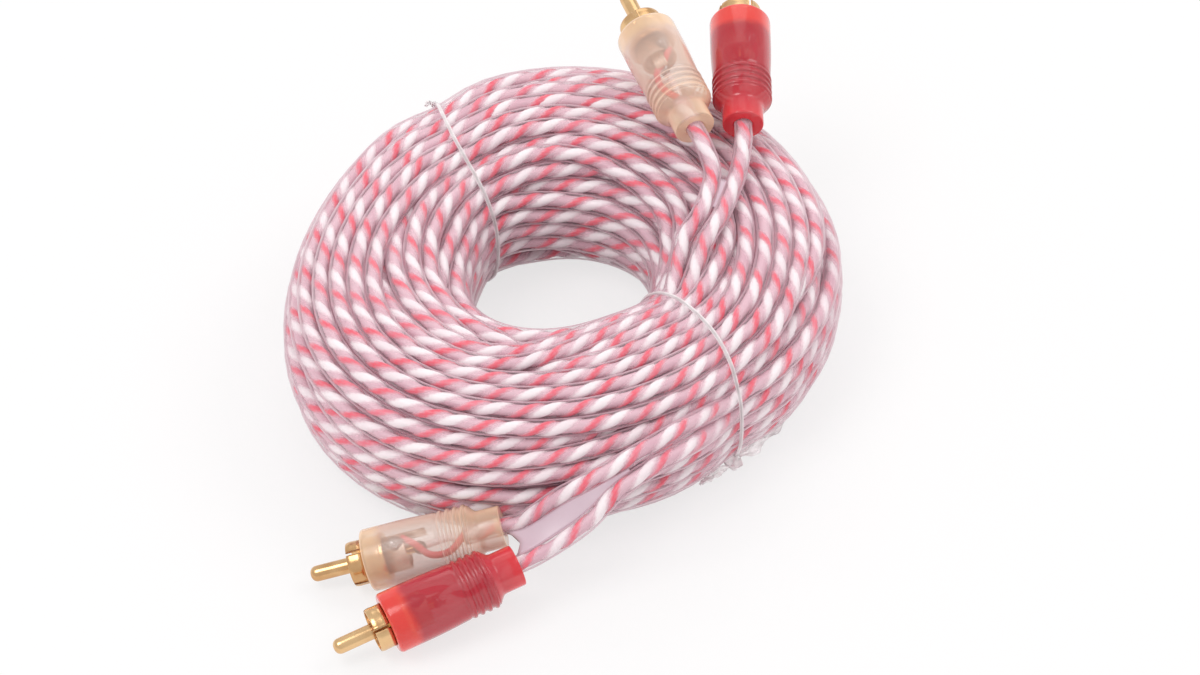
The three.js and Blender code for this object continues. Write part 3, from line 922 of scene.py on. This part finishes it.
def mouldedPvc(name, stops, facing, grazing, roughness):
    # Clear moulded PVC: tinted, hazy, faintly uneven from the mould, and denser to look through at its edges.
    # Its colour is painted lighter in the neck and the front rim: painted glow of light through the plastic,
    # and at the front painted light of the gold shell shining through.
    m = newMaterial(name)
    uv = addNode(m, "ShaderNodeUVMap", {"uv_map": "along"})
    split = addNode(m, "ShaderNodeSeparateXYZ", links={"Vector": uv.outputs["UV"]})
    wave, waved = noiseBump(m, 180.0, 3.0, 0.25, 0.12)
    # Place along the plug, shaken a little by the mould's waves: it picks the body's tone and the painted
    # glow
    glowPlaceAlong = addNode(m, "ShaderNodeMath", {"operation": "MULTIPLY_ADD"}, inputs={1: 0.08},
                     links={0: wave, 2: split.outputs["X"]})
    tone = addNode(m, "ShaderNodeValToRGB", links={"Fac": glowPlaceAlong.outputs["Value"]})
    shader = addNode(m, "ShaderNodeBsdfPrincipled",
                     inputs={"Roughness": roughness, "IOR": 1.53, "Coat Weight": 0.5, "Coat Roughness": 0.12},
                     links={"Base Color": setRamp(tone, stops), "Alpha": edgeAlpha(m, facing, grazing),
                            "Normal": waved})
    return finishMaterial(m, shader.outputs["BSDF"])


def nylon():
    # Natural nylon bush: off-white and slightly waxy
    return clouded(newMaterial("naturalNylon"), 300.0, [(0.3, "#e4dccd"), (0.7, "#f3eee4")],
                   {"Roughness": 0.4, "IOR": 1.53})


# Turned brass under thin gold: warm, bright and nearly mirror-like
goldPlating = metal("goldPlatedBrass", "#eec795", "#d3a473", 0.22, 500.0)
# Solder that ran and set: grey, patchy and dark against the clear plug
tin = metal("tinSolder", "#a9a5a6", "#6e696b", 0.3, 700.0)
# Brass dipped in tin: pale and dull, so that it reads as a light band through the plug
tinnedBrass = metal("tinnedBrass", "#f0dccc", "#dcc4b4", 0.5, 400.0)
nylonBush = nylon()
# Each body's first and last stops, at the neck and the front rim, are lighter: painted glow
bodyMaterials = {
    "clear": mouldedPvc("clearAmberPvc", [(0.04, "#fbd8b6"), (0.22, "#f5cfb0"), (0.5, "#e9c8b6"),
                                          (0.86, "#e9c9b8"), (0.95, "#fad6b2")], 0.42, 0.93, 0.22),
    "red": mouldedPvc("clearRedPvc", [(0.04, "#e62c36"), (0.22, "#d22232"), (0.3, "#ba182c"),
                                      (0.84, "#bc1c2e"), (0.91, "#ee4038")], 0.76, 0.97, 0.2),
}

shapes = {"plug_body": bodyShape(), "ground_shell": shellShape(), "centre_pin": pinShape(),
          "pin_insulator": insulatorShape()}
cup = cupShape()

# Each plug's cores, as places towards its open side, along it and across that side
tailBack = plug["flangeBack"] - plug["shankDepth"] - plug["pinTailLength"]
coreRoutes = {
    "clear": {
        "signal_core": [(0.4, 7.5, -0.7), (-1.2, 11.5, 0.4), (-0.9, 14.0, 0.3), (0, tailBack + 0.6, 0)],
        "ground_core": [(-0.2, 7.5, 0.7), (2.3, 11.5, -2.2), (2.7, 15.2, -1.8), (2.5, 17.8, 1.0),
                        (2.2, 20.2, 2.9)],
    },
    "red": {
        "signal_core": [(0.4, 7.5, 0.7), (2.0, 11.5, 0.9), (2.1, 14.0, 1.2), (0.5, tailBack + 0.6, 0.2)],
        "ground_core": [(-0.2, 7.5, -0.7), (-1.0, 11.5, -1.2), (0.6, 15.2, 1.8), (1.8, 17.8, 2.6),
                        (2.2, 20.2, 2.9)],
    },
}
for name, place in plugs.items():
    key = name.split("_")[1]
    toPlace = plugPlacement(place)
    looks = {"plug_body": (bodyMaterials[key], f"{key}_plug"), "ground_shell": (goldPlating, "plated_metal"),
             "centre_pin": (goldPlating, "plated_metal"), "pin_insulator": (nylonBush, "insulator")}
    for part, (verts, faces) in shapes.items():
        material, slotName = looks[part]
        along = [(verts[index][1] / plug["bodyLength"], 0.5) for face in faces for index in face]
        piece = makeObject(f"{name}_{part}_form", [toPlace(v) for v in verts], faces, uvs=along)
        dress(piece, material, slotName, f"{name}_{part}")
    tinned = makeObject(f"{name}_solder_cup", [toPlace(v) for v in cup[0]], cup[1])
    dress(tinned, tinnedBrass, "plated_metal")

    side = math.radians(place["openSide"])

    def turnedOpen(point):
        towards, height, across = point
        return (towards * math.sin(side) + across * math.cos(side), height,
                towards * math.cos(side) - across * math.sin(side))

    for part, route in coreRoutes[key].items():
        line = [toPlace(turnedOpen(v)) for v in catmullRom(route, 7)]
        core = tube(f"{name}_{part}_form", line, roundSection(plug["coreRadius"], 14))
        material, slotName = (whiteBare, "white_core") if part == "signal_core" else (redBare, "red_core")
        dress(core, material, slotName, f"{name}_{part}")
    drops = joined(solderShape((0, tailBack + 0.9, 0), *plug["tailDrop"]),
                   solderShape(turnedOpen(plug["tongueDropPlace"]), *plug["tongueDrop"]))
    solder = makeObject(f"{name}_solder", [toPlace(v) for v in drops[0]], drops[1])
    dress(solder, tin, "plated_metal")

print("plugs built")


# Thin web that still joins the two leads of each end, from where they part towards the plugs
web = {
    "reach": {"front": 1.0, "back": 0.35},
    "thickness": 0.6,
    "hollow": 0.06,  # how far its free edge draws back
    "outOfMouth": 0.2,  # mm
    "searched": 75.0,  # mm of each lead
    "rows": 24,
    "columns": 9,
    "step": 0.25,  # mm
    "touch": 1.07,  # lead diameters between the middles of leads that lie together
    "rooted": 0.93,  # shares of the lead's radius from its middle to where the web begins
    "colour": "#dcc6d0",
    "thin": "#d2b9c5",
}


def webPvc():
    # The jacket's own PVC, drawn out thin between the two leads: smooth, lilac and even
    return clouded(newMaterial("drawnPvcWeb"), 60.0, [(0.3, web["thin"]), (0.7, web["colour"])],
                   {"Roughness": 0.3, "IOR": lead["jacketIor"], "Alpha": 0.92})


def webBetween(first, second, reach):
    # The first stretch of each lead, from its plug
    runs = []
    for line in (first, second):
        steps = np.arange(leadSeatDepth + web["outOfMouth"], web["searched"], web["step"]) * mm
        runs.append(pointsAt(line, lengthAlong(line), steps))

    # Walk from the mouths until the leads touch
    gaps = norm(runs[0][:, None] - runs[1][None], axis=2)
    touching = gaps.min(axis=1) < coil["leadDiameter"] * web["touch"] * mm
    joinAt = int(np.argmax(touching)) if touching.any() else int(gaps.min(axis=1).argmin())
    joins = (joinAt, int(gaps[joinAt].argmin()))

    def spot(which, share):
        return pointsAt(runs[which], np.arange(len(runs[which])), joins[which] * share)

    rings = []
    for row in range(web["rows"]):
        t = row / (web["rows"] - 1)
        upper, lower = [], []
        for column in range(web["columns"]):
            u = column / (web["columns"] - 1)
            edge = 1 - reach * (1 - web["hollow"] * 4 * u * (1 - u))
            share = edge + (1 - edge) * t
            a, b = spot(0, share), spot(1, share)
            gap = norm(b - a)
            inset = min(0.49, leadRadius * web["rooted"] * mm / gap)
            point = a + (b - a) * (inset + (1 - 2 * inset) * u)
            normal = np.cross(spot(0, share + 0.02) - spot(0, share - 0.02), b - a)
            normal /= norm(normal)
            upper.append(point + normal * web["thickness"] / 2 * mm)
            lower.append(point - normal * web["thickness"] / 2 * mm)
        rings.append(upper + lower[::-1])
    return np.array(rings)


webMaterial = webPvc()
for end in ("front", "back"):
    first, second = (leadLines[key] if end == "front" else leadLines[key][::-1] for key in ("clear", "red"))
    rings = webBetween(first, second, web["reach"][end])
    piece = ringMesh(f"{end}_web", rings, np.linspace(0, 1, web["rows"]))
    leadPieces["clear"].append(dress(piece, webMaterial, "jacket"))
for key, (jacket, *inside) in leadPieces.items():
    line = leadLines[key]
    length = float(norm(np.diff(line, axis=0), axis=1).sum())
    print(key, "lead", round(length, 3), "m")
print("webs joined")


# Wire ties: a thin wire in clear film, pulled tight round the strands, with its ends twisted together
wire = {
    "wireRadius": 0.17,
    "filmHalfWidth": 0.43,
    "filmHalfDepth": 0.3,
    "loopPoints": 150,
    "smoothingPasses": 3,
    "stripThickness": 0.12,
    "stripLift": 0.3,  # how far the strips wave up and down
    "lowest": 0.9,
}
tieEnds = {
    # angle on the section where the ends are twisted, and each strip's way, length, width, turns and seed
    "left": {"knotAngle": 42, "standOff": 0.5, "strips": [(1, 2.6, 1.5, 0.5, 3)]},
    "right": {"knotAngle": -36, "standOff": 1.1,
              "strips": [(-1, 10.0, 3.8, 0.6, 7), (1, 17.0, 3.4, 0.3, 9)]},
}


def hull(points):
    ordered = sorted(map(tuple, points))

    def half(sequence):
        out = []
        for q in sequence:
            while len(out) > 1 and ((out[-1][0] - out[-2][0]) * (q[1] - out[-2][1])
                                    - (out[-1][1] - out[-2][1]) * (q[0] - out[-2][0])) <= 0:
                out.pop()
            out.append(q)
        return out[:-1]

    return np.array(half(ordered) + half(ordered[::-1]))


# The loop that a tight wire takes round the strands, from the knot round to the knot, in mm
def tightLoop(tie, knotAngle):
    circle = np.radians(np.arange(0, 360, 10))
    clear = leadRadius + wire["filmHalfDepth"] + 0.05
    rim = []
    for path in paths:
        off = wrapped(bearing - bearingOf(tie, path[:, 0]))
        for radius, height in path[np.abs(off) < math.pi / coil["stepsPerTurn"]]:
            share = ovalShare(bearingOf(tie, radius))
            rim += [(radius * share + clear * math.cos(a), height + clear * math.sin(a)) for a in circle]
    ring = hull(rim)
    middle = ring.mean(axis=0)
    angles = np.degrees(np.arctan2(ring[:, 1] - middle[1], ring[:, 0] - middle[0]))
    start = int(np.argmin(np.abs((angles - knotAngle + 180) % 360 - 180)))
    ring = np.vstack([np.roll(ring, -start, axis=0), ring[start]])
    length = lengthAlong(ring)
    loop = pointsAt(ring, length, np.linspace(0, length[-1], wire["loopPoints"]))
    for _ in range(wire["smoothingPasses"]):
        loop[1:-1] = (loop[:-2] + 2 * loop[1:-1] + loop[2:]) / 4
    loop[:, 1] = np.maximum(loop[:, 1], wire["filmHalfDepth"] + 0.1)
    return loop, middle


def onTie(tie, radius, height, moved=0.0):
    share = ovalShare(bearingOf(tie, radius))
    at = bearingOf(tie, radius / share) + moved / radius
    return toFrame((radius * math.cos(at), radius * math.sin(at), height))


# A crumpled strip of film along a line, as rings of points
def crumpledStrip(line, width, turns, seed):
    rng = np.random.default_rng(seed)
    along, side, over = carriedFrames(line)
    across = np.linspace(-0.5, 0.5, 9)
    phases = rng.uniform(0, 6.28, 6)
    rings = []
    for k in range(len(line)):
        t = k / (len(line) - 1)
        angle = 2 * math.pi * turns * t + 0.5 * math.sin(5 * t + phases[0])
        wide = math.cos(angle) * side[k] + math.sin(angle) * over[k]
        lift = -math.sin(angle) * side[k] + math.cos(angle) * over[k]
        breadth = width * (0.55 + 0.45 * math.sin(math.pi * min(1, 2.2 * t)))
        breadth *= 1 + 0.18 * math.sin(17 * t + phases[1])
        folds = (0.22 * np.sin(14 * across + 9 * t + phases[2])
                 + 0.16 * np.sin(23 * across - 15 * t + phases[3])
                 + 0.12 * np.sin(31 * t + 6 * across + phases[4]))
        points = line[k] + (across[:, None] * breadth * wide + folds[:, None] * lift) * mm
        skin = lift * wire["stripThickness"] / 2 * mm
        rings.append(np.vstack([points + skin, (points - skin)[::-1]]))
    return np.array(rings)


def tieFilm():
    # Clear film drawn over a thin wire: nearly colourless and glossy, white along its edges and folds
    m = newMaterial("clearTieFilm")
    _, creased = noiseBump(m, 900.0, 3.0, 0.4, 0.1)
    return clouded(m, 400.0, [(0.3, "#e6d9db"), (0.7, "#fbf4f5")], {"Roughness": 0.2, "IOR": 1.5},
                   {"Alpha": edgeAlpha(m, 0.5, 0.95, 0.05, 0.7), "Normal": creased})


film = tieFilm()
for key, tie in ties.items():
    ends = tieEnds[key]
    loop, middle = tightLoop(tie, ends["knotAngle"])
    line = np.array([onTie(tie, radius, height) for radius, height in loop])
    band = tube(f"{key}_tie_film", line, ellipse(wire["filmHalfWidth"], wire["filmHalfDepth"], 14))
    dress(band, film, "wire_tie", f"{key}_wire_tie")
    core = tube(f"{key}_tie_wire", line, roundSection(wire["wireRadius"], 8))
    dress(core, tin, "wire_tie")
    outward = (loop[0] - middle) / norm(loop[0] - middle)
    for number, (way, reach, width, turns, seed) in enumerate(ends["strips"]):
        run = []
        for t in np.linspace(0, 1, 40):
            off = ends["standOff"] * smoothStep(4 * t) + wire["stripLift"] * math.sin(7 * t + seed)
            radius, height = loop[0] + outward * off
            run.append(onTie(tie, radius, max(height, wire["lowest"]), way * reach * t))
        rings = crumpledStrip(np.array(run), width, turns, seed)
        strip = ringMesh(f"{key}_tie_end{number}", rings, np.linspace(0, 1, len(rings)))
        dress(strip, film, "wire_tie")
print("ties pulled tight")


# Stage: a plain pale floor and soft lamps
stage = {
    "floorSize": 6.0,  # m
    "floorColour": "#fbfafa",
    "floorGlow": 0.76,  # share of the paper's look that is its own white, which keeps the shadow light
    "worldColour": "#ffffff",
    "worldStrength": 0.74,
    "lamps": [
        # place in mm from the coil's middle, size in mm, power in watts
        {"place": (-500, -300, 1100), "size": 700, "power": 5.0},
        {"place": (700, 200, 900), "size": 600, "power": 2.5},
        {"place": (0, 900, 700), "size": 800, "power": 1.5},
    ],
}


def buildStage():
    half = stage["floorSize"] / 2
    floor = makeObject("floor", [(-half, -half, 0), (half, -half, 0), (half, half, 0), (-half, half, 0)],
                       [(0, 1, 2, 3)], smooth=False)
    paper = newMaterial("paleBackgroundPaper")
    shader = addNode(paper, "ShaderNodeBsdfPrincipled",
                     inputs={"Base Color": linear(stage["floorColour"]), "Roughness": 0.9,
                             "Specular IOR Level": 0.1})
    glow = addNode(paper, "ShaderNodeEmission",
                   inputs={"Color": linear(stage["floorColour"]), "Strength": 1.0})
    path = addNode(paper, "ShaderNodeLightPath")
    seen = addNode(paper, "ShaderNodeMath", {"operation": "MAXIMUM"},
                   links={0: path.outputs["Is Camera Ray"], 1: path.outputs["Is Glossy Ray"]})
    share = addNode(paper, "ShaderNodeMath", {"operation": "MULTIPLY"}, inputs={1: stage["floorGlow"]},
                    links={0: seen.outputs["Value"]})
    mix = addNode(paper, "ShaderNodeMixShader", links={0: share.outputs["Value"], 1: shader.outputs["BSDF"],
                                                       2: glow.outputs["Emission"]})
    finishMaterial(paper, mix.outputs["Shader"])
    floor.data.materials.append(paper)

    world = bpy.data.worlds.new("softStudio")
    world.use_nodes = True
    world.node_tree.nodes.clear()
    lit = addNode(world, "ShaderNodeBackground",
                  inputs={"Color": linear(stage["worldColour"]), "Strength": stage["worldStrength"]})
    seen = addNode(world, "ShaderNodeBackground", inputs={"Color": linear("#ffffff"), "Strength": 1.0})
    path = addNode(world, "ShaderNodeLightPath")
    mix = addNode(world, "ShaderNodeMixShader",
                  links={0: path.outputs["Is Camera Ray"], 1: lit.outputs["Background"],
                         2: seen.outputs["Background"]})
    addNode(world, "ShaderNodeOutputWorld", links={"Surface": mix.outputs["Shader"]})
    bpy.context.scene.world = world

    for number, lamp in enumerate(stage["lamps"]):
        data = bpy.data.lights.new(f"softbox{number}", "AREA")
        data.shape = "DISK"
        data.size = lamp["size"] * mm
        data.energy = lamp["power"]
        lampObject = bpy.data.objects.new(f"softbox{number}", data)
        lampObject.location = toFrame(lamp["place"])
        lampObject.rotation_mode = "QUATERNION"
        aim = toFrame((0, 0, 15)) - lampObject.location
        lampObject.rotation_quaternion = aim.to_track_quat("-Z", "Y")
        bpy.context.scene.collection.objects.link(lampObject)
    bpy.context.scene.view_settings.view_transform = "Standard"


buildStage()
print("stage lit")
